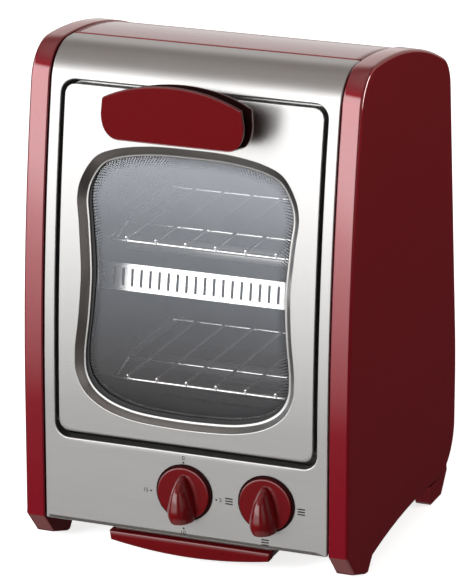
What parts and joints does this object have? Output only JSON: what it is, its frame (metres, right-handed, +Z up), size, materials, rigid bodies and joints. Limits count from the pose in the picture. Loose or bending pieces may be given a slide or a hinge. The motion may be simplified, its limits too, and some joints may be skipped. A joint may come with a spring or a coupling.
{
  "type": "electric oven",
  "caption": "Small upright two-deck electric oven with a drop-down glass door, rotary timer and heat selector, wire racks and a pull-out crumb tray.",
  "frame": {"origin": "on the standing surface, under the centre of the bounding box", "axes": "+X to the right seen from the front, +Y to the back, +Z up"},
  "size_m": [0.238, 0.2552, 0.359],
  "materials": {
    "red_moulding": "dark red gloss moulding",
    "red_paint": "dark red gloss paint on steel sheet",
    "brushed_steel": "stainless steel brushed side to side",
    "plain_steel": "plain bright steel",
    "cavity_steel": "aluminised steel sheet",
    "chrome_wire": "bright plated wire",
    "window_glass": "grey-tinted toughened glass with a black dotted border",
    "quartz": "frosted quartz tube",
    "ceramic": "unglazed white ceramic",
    "cream_plastic": "cream heat-proof moulding",
    "black_plastic": "black moulding",
    "gasket_rubber": "black silicone seal"
  },
  "bodies": {
    "cabinet": {"side_panel_left": "red_moulding", "side_panel_right": "red_moulding", "rear_foot_left": "red_moulding", "rear_foot_right": "red_moulding", "top_cover": "red_paint", "rear_cover": "red_paint", "front_fascia": "brushed_steel", "base_plate": "plain_steel", "heater_guard": "plain_steel", "rack_rail_upper_left": "plain_steel", "rack_rail_upper_right": "plain_steel", "rack_rail_lower_left": "plain_steel", "rack_rail_lower_right": "plain_steel", "tray_rail_left": "plain_steel", "tray_rail_right": "plain_steel", "rear_screw_upper_left": "plain_steel", "rear_screw_upper_right": "plain_steel", "rear_screw_lower_left": "plain_steel", "rear_screw_lower_right": "plain_steel", "hinge_bracket_left": "plain_steel", "hinge_bracket_right": "plain_steel", "door_frame": "cavity_steel", "cavity_wall_left": "cavity_steel", "cavity_wall_right": "cavity_steel", "cavity_roof": "cavity_steel", "cavity_floor": "cavity_steel", "cavity_rear_wall": "cavity_steel", "crumb_chute": "cavity_steel", "heater_tube_top": "quartz", "heater_tube_middle": "quartz", "heater_tube_bottom": "quartz", "heater_cap_top_left": "ceramic", "heater_cap_top_right": "ceramic", "heater_cap_middle_left": "ceramic", "heater_cap_middle_right": "ceramic", "heater_cap_bottom_left": "ceramic", "heater_cap_bottom_right": "ceramic", "timer_unit": "cream_plastic", "selector_switch": "cream_plastic", "terminal_block": "cream_plastic", "thermal_cutout": "black_plastic", "cord_gland": "black_plastic", "wiring_loom": "black_plastic"},
    "door": {"door_skin": "brushed_steel", "door_liner": "plain_steel", "window_glass": "window_glass", "window_gasket": "gasket_rubber", "door_handle": "red_moulding", "handle_screw_left": "plain_steel", "handle_screw_right": "plain_steel", "hinge_pin_left": "plain_steel", "hinge_pin_right": "plain_steel"},
    "timer_dial": {"timer_knob": "red_moulding", "timer_shaft": "plain_steel"},
    "selector_dial": {"selector_knob": "red_moulding", "selector_shaft": "plain_steel"},
    "rack_upper": {"upper_rack": "chrome_wire"},
    "rack_lower": {"lower_rack": "chrome_wire"},
    "crumb_tray": {"tray_pan": "plain_steel", "tray_handle": "red_moulding"}
  },
  "joints": [
    {"name": "door_hinge", "type": "hinge", "parent": "cabinet", "child": "door", "pos_m": [0, -0.0998, 0.097], "axis": [1, 0, 0], "range_deg": [0, 90]},
    {"name": "timer_turn", "type": "hinge", "parent": "cabinet", "child": "timer_dial", "pos_m": [0, -0.1058, 0.0576], "axis": [0, 1, 0], "range_deg": [0, 270]},
    {"name": "selector_turn", "type": "hinge", "parent": "cabinet", "child": "selector_dial", "pos_m": [0.06, -0.1058, 0.0576], "axis": [0, 1, 0], "range_deg": [0, 270]},
    {"name": "upper_rack_slide", "type": "slide", "parent": "cabinet", "child": "rack_upper", "axis": [0, -1, 0], "range_m": [0, 0.08]},
    {"name": "lower_rack_slide", "type": "slide", "parent": "cabinet", "child": "rack_lower", "axis": [0, -1, 0], "range_m": [0, 0.05]},
    {"name": "crumb_tray_slide", "type": "slide", "parent": "cabinet", "child": "crumb_tray", "axis": [0, -1, 0], "range_m": [0, 0.12]}
  ],
  "couplings": [
    {"joint": "upper_rack_slide", "follows": "door_hinge", "m_per_rad": 0.05},
    {"joint": "lower_rack_slide", "follows": "door_hinge", "m_per_rad": 0.03}
  ]
}
